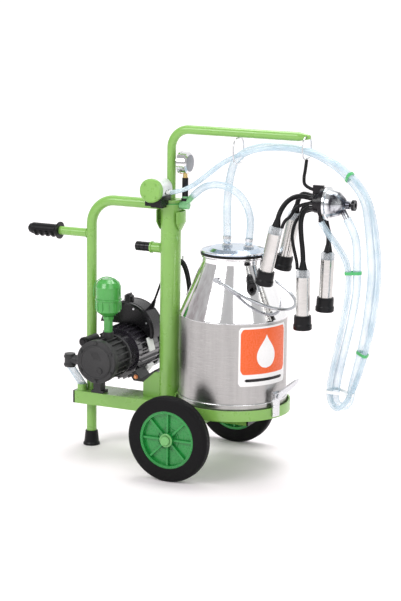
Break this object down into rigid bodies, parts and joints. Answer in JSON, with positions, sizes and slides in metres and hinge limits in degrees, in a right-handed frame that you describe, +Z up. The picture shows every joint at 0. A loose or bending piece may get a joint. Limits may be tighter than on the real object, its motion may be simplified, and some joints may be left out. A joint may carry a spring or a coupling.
{
  "type": "milking machine",
  "caption": "Milking trolley with vacuum pump and motor, milk can in a ring, pulsator, gauge and a claw with teat cups hung from an arm.",
  "frame": {"origin": "centre of the rubber foot's sole, on the floor", "axes": "+X along the trolley from the handle to the milk can, +Y away from the pump's cover, +Z up"},
  "size_m": [1.1824, 0.55, 1.0395],
  "materials": {
    "frame_green": "gloss yellow-green enamel",
    "wheel_green": "bright green plastic",
    "tyre_rubber": "smooth solid rubber",
    "black_rubber": "matt black rubber",
    "black_plastic": "satin black plastic",
    "pump_grey": "dark grey painted casting",
    "motor_grey": "dark finned aluminium",
    "fan_grey": "grey painted sheet",
    "filter_green": "saturated green plastic",
    "polished_steel": "polished stainless steel",
    "brushed_steel": "brushed stainless steel",
    "zinc": "bright zinc",
    "white_plastic": "white plastic",
    "clear_hose": "clear flexible hose",
    "clear_cap": "clear plastic",
    "copper_iron": "laminated iron and copper"
  },
  "bodies": {
    "trolley": {"spine_rail": "frame_green", "rail_end_caps": "black_plastic", "rear_post_tube": "frame_green", "leg_tube": "frame_green", "foot_boot": "black_rubber", "column_tube": "frame_green", "column_collar": "frame_green", "motor_gusset": "frame_green", "arm_tube": "frame_green", "wire_hooks": "zinc", "can_cradle": "frame_green", "axle": "frame_green", "axle_nuts": "zinc", "handle_stub": "frame_green", "handle_grip": "black_rubber", "regulator_body": "frame_green", "vacuum_tee": "filter_green", "gauge_case": "polished_steel", "pulsator_body": "white_plastic", "pulsator_cover": "frame_green", "pulsator_bracket": "black_plastic", "pump_body": "pump_grey", "pump_cover": "pump_grey", "pump_elbow": "pump_grey", "outlet_hose": "clear_hose", "machine_feet": "pump_grey", "motor_housing": "motor_grey", "motor_stator": "copper_iron", "fan_cover": "fan_grey", "terminal_box": "black_plastic", "filter_bowl": "filter_green", "can_body": "polished_steel", "lid_gasket": "black_rubber", "can_lid": "brushed_steel", "latch_base": "zinc", "claw_bowl": "polished_steel", "claw_distributor": "black_plastic", "teat_cup_shells": "brushed_steel", "teat_cup_liners": "black_rubber", "teat_cup_caps": "clear_cap", "claw_rubber_tubes": "black_rubber", "milk_tube": "clear_hose", "pulse_tube_near": "clear_hose", "pulse_tube_far": "clear_hose", "vacuum_hose": "clear_hose", "mains_lead": "black_rubber", "lead_coil": "black_rubber", "plug": "black_plastic"},
    "near_wheel": {"wheel_rim_near": "wheel_green", "wheel_tyre_near": "tyre_rubber"},
    "far_wheel": {"wheel_rim_far": "wheel_green", "wheel_tyre_far": "tyre_rubber"},
    "shaft": {"motor_rotor": "brushed_steel", "pump_rotor": "brushed_steel"},
    "bail": {"can_bail": "polished_steel"},
    "latch": {"latch_lever": "zinc"},
    "needle": {"gauge_pointer": "black_plastic"},
    "regulator": {"regulator_knob": "black_plastic"},
    "switch": {"switch_knob": "black_plastic"},
    "plunger": {"claw_knob": "black_plastic"}
  },
  "joints": [
    {"name": "near_wheel_spin", "type": "hinge", "parent": "trolley", "child": "near_wheel", "pos_m": [0.395, -0.2455, 0.13], "axis": [0, 1, 0], "continuous": true},
    {"name": "far_wheel_spin", "type": "hinge", "parent": "trolley", "child": "far_wheel", "pos_m": [0.395, 0.2455, 0.13], "axis": [0, 1, 0], "continuous": true},
    {"name": "shaft_spin", "type": "hinge", "parent": "trolley", "child": "shaft", "pos_m": [0.082, 0, 0.303], "axis": [0, 1, 0], "continuous": true},
    {"name": "bail_lift", "type": "hinge", "parent": "trolley", "child": "bail", "pos_m": [0.49, 0, 0.6], "axis": [0, -1, 0], "range_deg": [0, 14]},
    {"name": "latch_swing", "type": "hinge", "parent": "trolley", "child": "latch", "pos_m": [0.66384, -0.06327, 0.252], "axis": [0.9397, -0.342, 0], "range_deg": [-75, 15]},
    {"name": "needle_turn", "type": "hinge", "parent": "trolley", "child": "needle", "pos_m": [0.322, 0, 0.925], "axis": [-1, 0, 0], "range_deg": [0, 270], "stiffness_Nm_per_rad": 0.0005},
    {"name": "regulator_turn", "type": "hinge", "parent": "trolley", "child": "regulator", "pos_m": [0.182, 0, 0.657], "axis": [1, 0, 0], "range_deg": [-180, 180]},
    {"name": "switch_turn", "type": "hinge", "parent": "trolley", "child": "switch", "pos_m": [0.077, 0.108, 0.456], "axis": [0, 0, 1], "range_deg": [0, 60]},
    {"name": "plunger_pull", "type": "slide", "parent": "trolley", "child": "plunger", "axis": [1, 0, 0], "range_m": [-0.0065, 0.006]}
  ]
}
